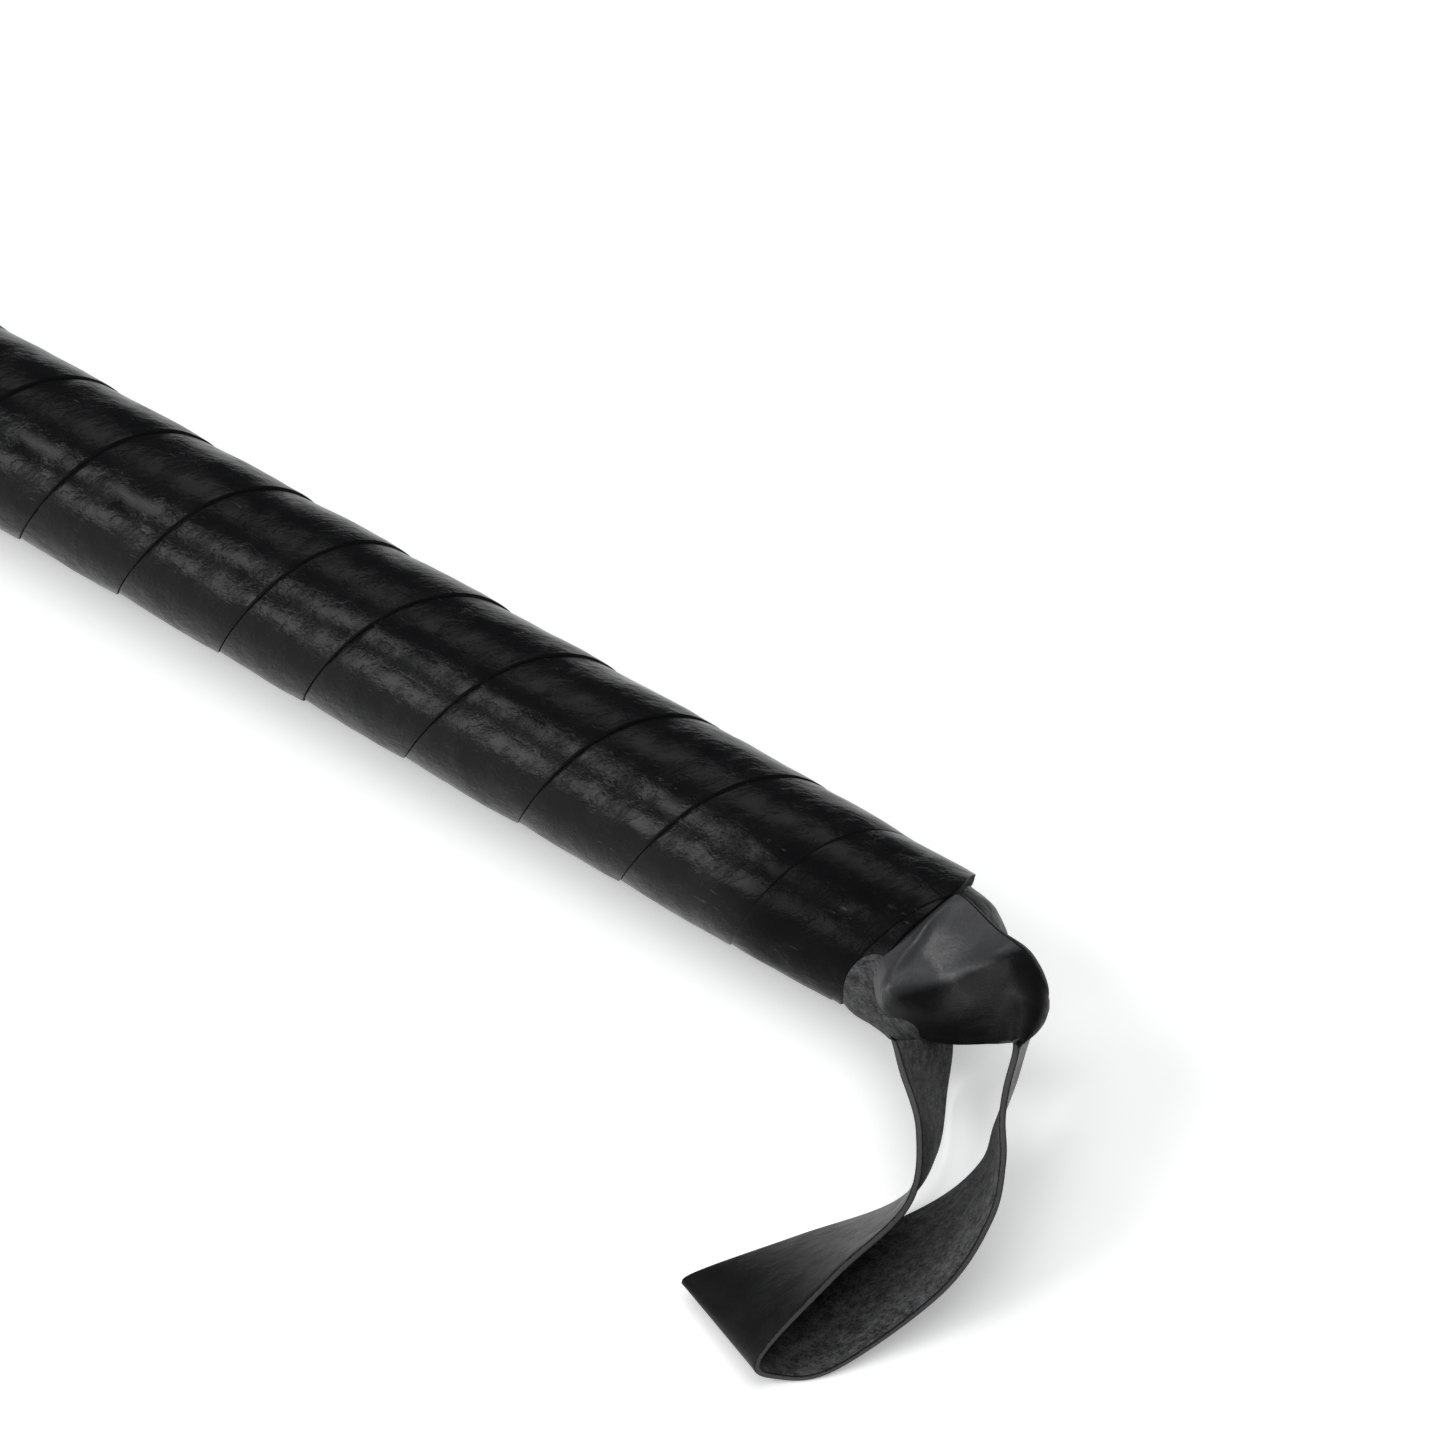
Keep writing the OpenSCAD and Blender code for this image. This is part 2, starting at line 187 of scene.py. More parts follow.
def leather(name, base=(0.0045, 0.0045, 0.0050), worn=(0.007, 0.007, 0.0075), rough=0.20, grain=1.0,
            crease=1.0, scuffs=0.0, specular=0.11, handled=False, folded=False):
    """Smooth finished leather: pores, fine creases that come and go, faint wear and a varied sheen.
    handled dulls the place by the butt where the hand has rubbed it. folded paints light on the grain before the
    strap's slanted fold: a paler colour there as painted light, and a stronger sheen."""
    m, nt, bsdf = material(name)
    at = strap_coords(nt)
    fine = cells(nt, at, 3.4)
    pores = noise_tex(nt, at, 7.0, 3.0, 0.6)
    creased = noise_tex(nt, strap_coords(nt, (0.55, 1.5, 1.0)), 1.6, 6.0, 0.62, 0.7)
    broad = noise_tex(nt, at, 0.12, 3.0, 0.5)
    patch = noise_tex(nt, at, 0.35, 4.0, 0.6)
    where = ramp(nt, patch, [(0.44, 0.04), (0.64, 1.0)])
    n1 = bump(nt, ramp(nt, fine, [(0.0, 0.0), (0.12, 1.0)]), 0.10 * grain, 0.00003)
    n2 = bump(nt, pores, 0.15 * grain, 0.00003, n1)
    n3 = bump(nt, maths(nt, "MULTIPLY", creased, where), 0.60 * crease, 0.00014, n2)
    n4 = bump(nt, broad, 0.35, 0.0007, n3)
    nt.links.new(n4, bsdf.inputs["Normal"])
    color = mix_color(nt, ramp(nt, patch, [(0.35, 0.0), (0.85, 0.55)]), base, worn)
    roughness = ramp(nt, patch, [(0.3, rough - 0.05), (0.7, rough + 0.09)])
    if scuffs:
        scratch_at = strap_coords(nt, (0.9, 0.10, 1.0))
        thin = ramp(nt, noise_tex(nt, scratch_at, 2.6, 5.0, 0.75, 0.4), [(0.60, 0.0), (0.66, 1.0)])
        mask = ramp(nt, noise_tex(nt, at, 0.30, 2.0, 0.5), [(0.56, 0.0), (0.66, 1.0)])
        marks = maths(nt, "MULTIPLY", thin, mask)
        color = mix_color(nt, maths(nt, "MULTIPLY", marks, scuffs), color, (0.085, 0.083, 0.080))
        roughness = mix_color(nt, marks, roughness, (0.62, 0.62, 0.62))
    nt.links.new(color, bsdf.inputs["Base Color"])
    nt.links.new(roughness, bsdf.inputs["Roughness"])
    bsdf.inputs["Specular IOR Level"].default_value = specular
    if folded:
        place = node(nt, "ShaderNodeSeparateXYZ")
        nt.links.new(at, place.inputs[0])
        past_fold = maths(nt, "SUBTRACT", place.outputs["Y"], maths(nt, "MULTIPLY", place.outputs["X"], 1.25))
        # painted light: the grain on the root side of the slanted fold is coloured paler, as if lit, and given
        # more sheen
        painted_light_root_side = spread(nt, maths(nt, "ADD", past_fold, maths(nt, "MULTIPLY", broad, 2.0)), -12.8, -11.4)
        nt.links.new(mix_color(nt, painted_light_root_side, color, (0.034, 0.034, 0.036)), bsdf.inputs["Base Color"])
        shine = maths(nt, "ADD", maths(nt, "MULTIPLY", painted_light_root_side, 0.5), specular)
        nt.links.new(shine, bsdf.inputs["Specular IOR Level"])
    if handled:
        place = node(nt, "ShaderNodeSeparateXYZ")
        nt.links.new(coords(nt), place.inputs[0])
        near_butt = spread(nt, place.outputs["X"], P(-24).x, P(-17).x)
        camera_side = spread(nt, place.outputs["Y"], P(0, -0.5).y, P(0, -3.5).y)
        dull = maths(nt, "MULTIPLY", near_butt, camera_side)
        kept = maths(nt, "SUBTRACT", 1.0, maths(nt, "MULTIPLY", dull, 0.75))
        nt.links.new(maths(nt, "MULTIPLY", kept, specular), bsdf.inputs["Specular IOR Level"])
    return m


def spread(nt, value, start, end):
    """0 before start, 1 past end."""
    n = node(nt, "ShaderNodeMapRange", interpolation_type="SMOOTHSTEP")
    n.inputs["From Min"].default_value, n.inputs["From Max"].default_value = min(start, end), max(start, end)
    if end < start:
        n.inputs["To Min"].default_value, n.inputs["To Max"].default_value = 1.0, 0.0
    nt.links.new(value, n.inputs["Value"])
    return n.outputs["Result"]


def suede(name, dark=(0.016, 0.016, 0.017), light=(0.115, 0.115, 0.118)):
    """The raw flesh side: short matted fibres, mottled grey."""
    m, nt, bsdf = material(name)
    at = strap_coords(nt)
    mottled = noise_tex(nt, at, 0.9, 6.0, 0.68, 0.3)
    fibres = noise_tex(nt, strap_coords(nt, (1.0, 1.6, 1.0)), 2.4, 5.0, 0.75, 1.0)
    dots = noise_tex(nt, at, 12.0, 2.0, 0.6)
    both = maths(nt, "ADD", maths(nt, "MULTIPLY", mottled, 0.40), maths(nt, "MULTIPLY", fibres, 0.60))
    color = mix_color(nt, ramp(nt, both, [(0.43, 0.0), (0.60, 1.0)]), dark, light)
    nt.links.new(color, bsdf.inputs["Base Color"])
    n1 = bump(nt, fibres, 0.8, 0.00022)
    nt.links.new(bump(nt, dots, 0.5, 0.00010, n1), bsdf.inputs["Normal"])
    bsdf.inputs["Roughness"].default_value = 0.95
    bsdf.inputs["Specular IOR Level"].default_value = 0.12
    bsdf.inputs["Sheen Weight"].default_value = 0.10
    bsdf.inputs["Sheen Roughness"].default_value = 0.5
    return m


def cut_edge(name, middle=(0.075, 0.074, 0.072), rim=(0.008, 0.008, 0.009), half=0.4):
    """The cut side of a strip: paler fibre between two dark finished borders."""
    m, nt, bsdf = material(name)
    at = node(nt, "ShaderNodeAttribute", attribute_name="strip")
    split = node(nt, "ShaderNodeSeparateXYZ")
    nt.links.new(at.outputs["Vector"], split.inputs[0])
    depth = maths(nt, "ABSOLUTE", split.outputs["Z"])
    fibre = noise_tex(nt, strap_coords(nt), 4.0, 5.0, 0.7, 0.5)
    ragged = maths(nt, "ADD", depth, maths(nt, "MULTIPLY", maths(nt, "SUBTRACT", fibre, 0.5), 0.25))
    fac = ramp(nt, ragged, [(0.5 * half, 1.0), (0.85 * half, 0.0)])
    nt.links.new(mix_color(nt, fac, rim, middle), bsdf.inputs["Base Color"])
    nt.links.new(bump(nt, fibre, 0.6, 0.00015), bsdf.inputs["Normal"])
    bsdf.inputs["Roughness"].default_value = 0.8
    bsdf.inputs["Specular IOR Level"].default_value = 0.2
    return m


def thread(name, base, light, rough):
    """Waxed or plain thread: twisted plies in the bump, fuzz and wax in the colour."""
    m, nt, bsdf = material(name)
    at = strap_coords(nt)
    wax = noise_tex(nt, at, 1.1, 4.0, 0.6)
    fuzz = noise_tex(nt, at, 9.0, 3.0, 0.7)
    color = mix_color(nt, ramp(nt, wax, [(0.35, 0.0), (0.7, 1.0)]), base, light)
    nt.links.new(color, bsdf.inputs["Base Color"])
    nt.links.new(bump(nt, fuzz, 0.45, 0.00010), bsdf.inputs["Normal"])
    nt.links.new(ramp(nt, wax, [(0.3, rough - 0.08), (0.7, rough + 0.12)]), bsdf.inputs["Roughness"])
    bsdf.inputs["Specular IOR Level"].default_value = 0.35
    return m


def plain(name, base, light, rough, metallic=0.0, strength=0.25, stretch=(1, 1, 1)):
    """Finish of a carried-over inner part: grain, tone and roughness from noise in the object's own place."""
    m, nt, bsdf = material(name)
    scale = 900.0
    at = coords(nt, stretch)
    a = noise_tex(nt, at, scale, 5.0, 0.6)
    b = noise_tex(nt, at, scale * 0.15, 3.0, 0.5)
    nt.links.new(mix_color(nt, ramp(nt, b, [(0.3, 0.0), (0.7, 1.0)]), base, light), bsdf.inputs["Base Color"])
    nt.links.new(bump(nt, a, strength, 0.00008), bsdf.inputs["Normal"])
    nt.links.new(ramp(nt, b, [(0.3, rough - 0.06), (0.7, rough + 0.08)]), bsdf.inputs["Roughness"])
    bsdf.inputs["Metallic"].default_value = metallic
    return m


WRAP_A = leather("wrap_leather_a", scuffs=0.8, handled=True)
WRAP_B = leather("wrap_leather_b", base=(0.0050, 0.0050, 0.0055), scuffs=0.8, handled=True)
CAP = leather("cap_leather", rough=0.42, worn=(0.02, 0.02, 0.021), grain=2.0, crease=2.2, specular=0.4)
# folded=True puts painted light on the strap: a paler, shinier grain on the root side of its fold
STRAP = leather("strap_leather", base=(0.0065, 0.0065, 0.0070), worn=(0.012, 0.012, 0.013), rough=0.38,
                grain=2.0, crease=0.6, specular=0.14, folded=True)
SUEDE = suede("strap_suede")
CUT = cut_edge("strap_cut_edge", half=0.28)
COLLAR = leather("collar_leather", rough=0.34)
TONGUE = leather("tongue_leather", base=(0.006, 0.006, 0.0065), rough=0.36, grain=1.5, crease=0.6)
TONGUE_CUT = cut_edge("tongue_cut_edge", middle=(0.020, 0.019, 0.018))
BRAID = thread("braid_thread", (0.006, 0.006, 0.0065), (0.014, 0.014, 0.015), 0.42)
WHIP = thread("whipping_thread", (0.006, 0.006, 0.006), (0.013, 0.013, 0.013), 0.40)
CORD = thread("cord_thread", (0.007, 0.007, 0.007), (0.017, 0.016, 0.016), 0.50)
STITCH = thread("stitch_thread", (0.030, 0.029, 0.027), (0.065, 0.062, 0.058), 0.6)


# ------------------------------------------------------------- mesh building

def build(name, rings, strip, materials, faces_of=None, closed=False):
    """A skin over rings of points (crop frame, mm): rings is (n, m, 3). strip holds each point's place on the
    leather, faces_of gives the material index for each column of faces. closed joins the last ring to the first,
    otherwise both are capped."""
    rings = np.asarray(rings, float)
    n, m, _ = rings.shape
    co = (rings.reshape(-1, 3) + SHIFT) * MM
    i, j = np.meshgrid(np.arange(n if closed else n - 1), np.arange(m), indexing="ij")
    a = i * m + j
    b = i * m + (j + 1) % m
    c = ((i + 1) % n) * m + (j + 1) % m
    d = ((i + 1) % n) * m + j
    quads = np.stack([a, b, c, d], -1).reshape(-1, 4).tolist()
    slots = [0] * len(quads) if faces_of is None else np.broadcast_to(faces_of, (len(i), m)).ravel().tolist()
    if not closed:
        quads.append(list(range(m))[::-1])
        quads.append([(n - 1) * m + k for k in range(m)])
        cap_slot = min(len(materials) - 1, 2)
        slots += [cap_slot, cap_slot]
    me = bpy.data.meshes.new(name)
    me.from_pydata(co.tolist(), [], quads)
    at = me.attributes.new("strip", "FLOAT_VECTOR", "POINT")
    at.data.foreach_set("vector", np.asarray(strip, np.float32).reshape(-1))
    for mat in materials:
        me.materials.append(mat)
    me.polygons.foreach_set("material_index", slots)
    me.polygons.foreach_set("use_smooth", [True] * len(quads))
    me.validate()
    me.update()
    o = bpy.data.objects.new(name, me)
    bpy.context.scene.collection.objects.link(o)
    return outward(o)


def outward(o):
    """Turns every face outwards."""
    bm = bmesh.new()
    bm.from_mesh(o.data)
    bmesh.ops.recalc_face_normals(bm, faces=bm.faces)
    bm.to_mesh(o.data)
    bm.free()
    return o


def section(width, thick, across):
    """Closed outline of a flat strip with rounded sides: (across, through) pairs and the face of each column.
    0 is the face at +through, 1 the one at -through, 2 the cut sides."""
    r = min(thick * 0.22, 0.2)
    edge = 3
    pts, kind = [], []
    half, h = width / 2, thick / 2
    for k in range(across + 1):
        pts.append((-half + r + (width - 2 * r) * k / across, h))
        kind.append(0)
    kind[-1] = 2
    for k in range(1, edge + 1):
        a = math.pi / 2 * k / edge
        pts.append((half - r + r * math.sin(a), h - r + r * math.cos(a)))
        kind.append(2)
    for k in range(0, edge + 1):
        a = math.pi / 2 * k / edge
        pts.append((half - r + r * math.cos(a), -h + r - r * math.sin(a)))
        kind.append(2)
    kind[-1] = 1
    for k in range(1, across + 1):
        pts.append((half - r - (width - 2 * r) * k / across, -h))
        kind.append(1)
    kind[-1] = 2
    for k in range(1, edge + 1):
        a = math.pi / 2 * k / edge
        pts.append((-half + r - r * math.sin(a), -h + r - r * math.cos(a)))
        kind.append(2)
    for k in range(0, edge):
        a = math.pi / 2 * k / edge
        pts.append((-half + r - r * math.cos(a), h - r + r * math.sin(a)))
        kind.append(2)
    return np.array(pts), np.array(kind)


# ------------------------------------------------------------- the winding

LEAD = 21.6
LAP = 1.1                # how far each strip runs on under its neighbour
FACING = 128             # degrees round from +Y to the side that faces the camera
SEAM0 = -17.2            # place of the last seam on that side
WORN = (-26.0, -19.0)    # the winding grows flush between these places, where the hand has worn it


def wander(turns, phase):
    """How far a seam strays from its even spacing."""
    return 0.7 * np.sin(2.3 * turns + phase) + 0.4 * np.sin(5.1 * turns + 2 * phase)


def seam_even(phi):
    turns = (phi - FACING) / 360
    return SEAM0 - LEAD * turns + wander(turns, 0.0)


def seam_odd(phi):
    turns = (phi - FACING) / 360
    return SEAM0 - LEAD / 2 - LEAD * turns + wander(turns, 2.0)


def butt_cut(phi):
    """Where the winding is trimmed at the butt, on a slant and not quite clean."""
    a = np.radians(phi)
    return -8.3 + 3.6 * np.cos(a - math.radians(85)) + 0.10 * np.sin(5 * a + 1) + 0.06 * np.sin(11 * a)


def wrap_strip(name, edge, other, shift, mat):
    """One leather strip of the winding. edge is its exposed side towards the butt, other the neighbour's that
    laps over its far side, shift degrees further round."""
    u = np.concatenate([np.linspace(0, 0.10, 5), np.linspace(0.13, 0.90, 26), np.linspace(0.92, 0.985, 6)])
    rows, strips = [], []
    for phi in np.arange(FACING - 720, FACING + 360 * 9.4, 3.0):
        x1 = float(edge(np.array(phi)))
        x0 = float(other(np.array(phi + shift))) - LAP
        cut = float(butt_cut(np.array(phi)))
        hi, lo = min(x1, cut), max(x0, WRAP_FRONT - 0.6)
        if hi - lo < 1.2 or x0 > cut or x1 < WRAP_FRONT:
            continue
        trimmed = x1 > cut
        w = x1 - x0 - LAP
        xs = lo + (hi - lo) * u
        s = (xs - x0 - LAP) / w                          # 0 at the neighbour's edge, 1 at its own
        crown = 0.10 * (1 - (2 * np.clip(s, 0, 1) - 1) ** 2)
        rise = 0.17 - 0.12 * float(smooth(*WORN, x1))
        r = GRIP_R - 0.10 + rise * smooth(0.0, 1.0, s) + crown
        under = np.clip(-s * w / LAP, 0, 1)
        r = r - (0.42 - 0.30 * float(smooth(*WORN, x0 + LAP))) * smooth(0.0, 0.45, under)
        ang = math.radians(phi)
        y, z = math.cos(ang), math.sin(ang)
        wob = np.array([fbm(x * 0.16 + 7, y * 0.9, z * 0.9 + phi * 0.0012, 3) for x in xs]) * 0.075
        wob += np.array([fbm(x * 0.55, y * 3.0 + phi * 0.002, z * 3.0, 2) for x in xs]) * 0.018
        press = 0.16 * np.exp(-((xs + 16) / 6.0) ** 2) * max(0.0, math.cos(ang - math.radians(196))) ** 2
        sink = 0.20 * smooth(-9.0, -2.5, xs - cut + 3.0)
        r = r + wob + press - sink
        # the exposed edge rolls over to its own thickness, and the inner face follows it
        top = [(x, rr) for x, rr in zip(xs, r)]
        end_r = r[-1]
        thick = 0.95 if trimmed else 0.80
        roll = 0.16
        top += [(hi - roll * 0.45, end_r - 0.010), (hi - roll * 0.12, end_r - 0.055), (hi, end_r - roll),
                (hi, end_r - thick * 0.6)]
        bottom = [(hi - 0.05, end_r - thick)]
        bottom += [(x, min(GRIP_R - 0.86, rr - 0.25)) for x, rr in zip(xs[::-4], r[::-4])]
        ring = top + bottom
        rows.append([(x, rr * y, AXIS_Z + rr * z) for x, rr in ring])
        along = math.radians(phi) * GRIP_R
        strips.append([(along, x - x0, float(rr - end_r)) for x, rr in ring])
    across = len(rows[0])
    faces = np.zeros(across, int)
    faces[len(u) + 1:len(u) + 4] = 1
    return build(name, rows, strip=np.array(strips), faces_of=faces, materials=[mat, WRAP_CUT])


WRAP_CUT = cut_edge("wrap_cut_edge", middle=(0.010, 0.010, 0.010), rim=(0.004, 0.004, 0.004))
strip_even = wrap_strip("wrap_strip_b_leather", seam_even, seam_odd, 0, WRAP_B)
strip_odd = wrap_strip("wrap_strip_a_leather", seam_odd, seam_even, 360, WRAP_A)
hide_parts("wrap_strip_b")
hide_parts("wrap_strip_a")

# ------------------------------------------------------------- the wrist strap

STRAP_W, STRAP_T = 11.4, 0.55
# Near edge, far edge and bulge of the strap in mm, listed along its route from the root on the camera's
# side round to the other root. There its inner face is turned outwards, so the bulge changes sign.
LOOP = [
    ((-10, -4, 11), (-10, 1, 12.5), 0.7), ((-8, -4, 11), (-8, 1, 12.5), 0.7),
    ((-7, -5, 10.5), (-6, 1, 13), 1), ((-6.5, -7, 9.5), (-5, 1, 13.5), 1.3),
    ((-4.5, -8, 7.5), (-3.5, 1, 14.5), 3), ((0, -7.5, 7), (1, -0.5, 15), 2),
    ((4.5, -6, 8.5), (5, -1.5, 15.5), 2), ((7.5, -7.5, 12), (7.5, -2.5, 13), 1),
    ((9.5, -9.5, 14), (6, -3, 8), 0), ((10.5, -12, 12.5), (6.5, -5.5, 5), 0),
    ((12, -14.5, 12), (7.5, -9, 3.5), 0), ((14, -17, 10.5), (8.5, -12, 2.5), 0),
    ((15.5, -20.5, 8), (7.5, -16, 1), 0), ((15, -26, 4), (5, -22, 0.5), 0),
    ((11.5, -35, 0.5), (1.5, -29.5, 0.5), 0), ((8.5, -38.5, 0.5), (-1, -33.5, 0.5), 0),
    ((7.5, -39.5, 3), (-3, -35.5, 1.5), 0), ((9, -32, 7), (1, -26.5, 1), 0),
    ((10, -24, 9), (5, -18.5, 1), 0), ((6.5, -18, 10), (4, -12.5, 1), 0),
    ((1, -13, 9), (0.5, -6.5, 1), 0), ((-2.5, -9.5, 7), (-0.5, -4.5, 4), -1),
    ((-4, -8.5, 6), (-0.5, -5.5, 8.5), -1), ((-6, -7.5, 5), (-4, -4.5, 11.5), -1.6),
    ((-9, -6.5, 4), (-8, -4, 12.5), -1.6), ((-12, -5.5, 5), (-12, -4, 12), -1.1),
]
LIFT = 0.2               # raises the whole route clear of the ground


def catmull(values, t):
    v = np.asarray(values, float)
    i = np.clip(np.floor(t).astype(int), 0, len(v) - 2)
    f = (t - i)[:, None]
    g = lambda k: v[np.clip(i + k, 0, len(v) - 1)]
    a, b, c, d = g(-1), g(0), g(1), g(2)
    return 0.5 * (2 * b + (c - a) * f + (2 * a - 5 * b + 4 * c - d) * f ** 2 + (3 * b - a - 3 * c + d) * f ** 3)


def strap_mesh(name, stations, mats):
    near = [s[0] for s in stations]
    far = [s[1] for s in stations]
    bulge = [[s[2]] for s in stations]
    per, across = 10, 22
    t = np.linspace(0, len(stations) - 1, (len(stations) - 1) * per + 1)
    L, R = catmull(near, t), catmull(far, t)
    B = catmull(bulge, t)[:, 0]
    L[:, 2] += LIFT
    R[:, 2] += LIFT
    mid = (L + R) / 2
    drawn = np.linalg.norm(R - L, axis=1) / STRAP_W               # it is gathered where it leaves the grip
    across_dir = (R - L) / (drawn * STRAP_W)[:, None]
    tangent = np.gradient(mid, axis=0)
    tangent /= np.linalg.norm(tangent, axis=1)[:, None]
    face = np.cross(across_dir, tangent)
    face /= np.linalg.norm(face, axis=1)[:, None]
    length = np.concatenate([[0], np.cumsum(np.linalg.norm(np.diff(mid, axis=0), axis=1))])
    out, kind = section(STRAP_W, STRAP_T, across)
    rings, strips = [], []
    w = out[:, 0] / STRAP_W + 0.5
    valley, ridge = np.exp(-((w - 0.5) / 0.16) ** 2), np.exp(-((w - 0.18) / 0.09) ** 2)
    pucker = smooth(2.6, 3.8, t) * smooth(5.6, 4.6, t)
    fold = 0.12 + 0.8 * np.clip((t - 4) / 1.6, 0, 1)              # a crease runs slantwise over the first bend
    folded = 0.8 * smooth(3.4, 4.3, t) * smooth(7.4, 6.2, t)
    for k in range(len(t)):
        tent = np.minimum(w / fold[k], (1 - w) / (1 - fold[k]))
        arch = (1 - folded[k]) * 4 * w * (1 - w) + folded[k] * tent
        through = out[:, 1] - B[k] * arch + pucker[k] * (0.9 * valley - 0.4 * ridge)
        ring = mid[k] + np.outer(out[:, 0] * drawn[k], across_dir[k]) + np.outer(through, face[k])
        rings.append(ring)
        strips.append(np.c_[np.full(len(out), length[k]), out[:, 0], out[:, 1]])
    rings = np.array(rings)
    clearance = 0.03                                              # of the ground, at the least
    rings[:, :, 2] = np.maximum(rings[:, :, 2], clearance)
    faces = np.where(kind == 0, 1, np.where(kind == 1, 0, 2))     # the inner face is suede, the outer one grain
    o = build(name, rings, strip=np.array(strips), faces_of=faces, materials=mats)
    return o, float(length[-1])


loop, strap_length = strap_mesh("wrist_loop_strap", LOOP, (STRAP, SUEDE, CUT))
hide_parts("wrist_loop")

# ------------------------------------------------------------- turned pieces

def lathe(name, profile, mats, ripple, sides=96):
    """A piece turned about the crop's axis from (x, r) points in mm, closed on itself."""
    prof = np.array(profile, float)
    rings, strips = [], []
    run = np.concatenate([[0], np.cumsum(np.linalg.norm(np.diff(prof, axis=0), axis=1))])
    for k in range(sides):
        a = 2 * math.pi * k / sides
        r = prof[:, 1] + ripple(prof[:, 0], a) * (prof[:, 1] > 0.5)
        rings.append(np.c_[prof[:, 0], r * math.cos(a), AXIS_Z + r * math.sin(a)])
        strips.append(np.c_[run, np.full(len(run), a * 6.0), np.zeros(len(run))])
    return build(name, rings, strip=np.array(strips), materials=mats, closed=True)


def arc(points, steps):
    """Points of a smooth line through the given ones."""
    t = np.linspace(0, len(points) - 1, (len(points) - 1) * steps + 1)
    return catmull(points, t)


cap_out = arc([(-15.5, 6.30), (-10, 6.38), (-6.6, 6.30), (-3.6, 5.75), (-1.5, 4.45), (-0.45, 2.7), (0.0, 1.0),
               (0.02, 0.02)], 6)
cap_in = arc([(-0.9, 0.02), (-1.4, 2.6), (-3.4, 4.2), (-7.0, 5.0), (-15.5, 5.1)], 4)


def cap_ripple(x, a):
    deg = math.degrees(a) % 360
    under = smooth(70, 88, deg) * smooth(326, 304, deg) * smooth(0.0, -3.0, x)
    return -0.75 * under + np.array([fbm(v * 0.35, math.cos(a) * 1.8, math.sin(a) * 1.8, 3) for v in x]) * 0.16


butt = lathe("butt_cap_leather", np.vstack([cap_out, cap_in]), [CAP], cap_ripple)
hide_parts("butt_cap")

col = arc([(WRAP_FRONT + 1.3, GRIP_R + 0.02), (WRAP_FRONT + 0.9, GRIP_R + 0.52), (WRAP_FRONT - 0.3, GRIP_R + 0.62),
           (WRAP_FRONT - 3, GRIP_R + 0.25), (COLLAR_FRONT + 8, GRIP_R - 0.35), (COLLAR_FRONT + 4.4, GRIP_R - 1.3),
           (COLLAR_FRONT + 1.6, COVER_R + 1.75), (COLLAR_FRONT + 0.4, COVER_R + 1.3),
           (COLLAR_FRONT, COVER_R + 0.8)], 6)
col_in = arc([(COLLAR_FRONT + 0.1, COVER_R + 0.12), (COLLAR_FRONT + 3, COVER_R + 0.8),
              (COLLAR_FRONT + 9, GRIP_R - 1.5), (WRAP_FRONT + 1.2, GRIP_R - 0.6)], 4)


def collar_ripple(x, a):
    gather = smooth(COLLAR_FRONT + 9, COLLAR_FRONT + 1.5, x)
    pleat = 0.16 * np.cos(13 * a + 0.5 * np.sin(3 * a)) * gather
    return pleat + np.array([fbm(v * 0.25, math.cos(a) * 1.5, math.sin(a) * 1.5, 3) for v in x]) * 0.10


collar = lathe("front_collar_leather", np.vstack([col, col_in]), [COLLAR], collar_ripple, sides=144)
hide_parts("front_collar")


def tube_along(points, radius, sides, plies, twist, depth, taper=None):
    """Rings of a twisted thread along a line of points in mm."""
    p = np.asarray(points, float)
    tan = np.gradient(p, axis=0)
    tan /= np.linalg.norm(tan, axis=1)[:, None]
    ref = np.zeros_like(p)
    ref[:, 1:] = p[:, 1:] - np.array([0, AXIS_Z])
    ref /= np.maximum(np.linalg.norm(ref, axis=1), 1e-6)[:, None]
    side = np.cross(tan, ref)
    side /= np.linalg.norm(side, axis=1)[:, None]
    up = np.cross(side, tan)
    run = np.concatenate([[0], np.cumsum(np.linalg.norm(np.diff(p, axis=0), axis=1))])
    a = np.arange(sides) * 2 * math.pi / sides
    rr = radius * (1 - depth * (0.5 + 0.5 * np.cos(plies * (a[None, :] + twist * run[:, None]))))
    if taper is not None:
        rr = rr * taper[:, None]
    spoke = np.cos(a)[None, :, None] * side[:, None, :] + np.sin(a)[None, :, None] * up[:, None, :]
    rings = p[:, None, :] + rr[:, :, None] * spoke
    strips = np.stack([np.repeat(run[:, None], sides, 1), np.repeat((a * radius)[None, :], len(p), 0),
                       np.zeros((len(p), sides))], -1)
    return rings, strips


def winding(name, x0, x1, turns, r_core, thick, mat, plies):
    """A thread wound closely round the crop, its two ends tucked under the turns."""
    steps = 30
    t = np.linspace(0, turns, turns * steps + 1)
    a = t * 2 * math.pi + 0.7
    x = x0 + (x1 - x0) * t / turns
    lift = 0.03 * np.sin(t * 3.1) + 0.02 * np.sin(t * 7.7)
    r = r_core + thick / 2 + lift
    tuck = smooth(0.0, 0.35, t) * smooth(turns, turns - 0.35, t)
    r = r - (1 - tuck) * thick * 0.7
    pts = np.c_[x, r * np.cos(a), AXIS_Z + r * np.sin(a)]
    rings, strips = tube_along(pts, thick / 2 * 1.04, 10, plies, 2.4 / thick, 0.14)
    return build(name, rings, strip=strips, materials=[mat])


collar_cord = winding("collar_cord_wound", COLLAR_FRONT - 0.35, CORD_FRONT + 0.5, 6, COVER_R + 0.05, 1.0, CORD, 3)
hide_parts("collar_cord")


# ------------------------------------------------------------- braided cover

def cover_radius(x):
    x = np.asarray(x, float)
    return np.where(x > TAPER_X, COVER_R, COVER_R + (TIP_R - COVER_R) * (TAPER_X - x) / (TAPER_X - TIP_X))


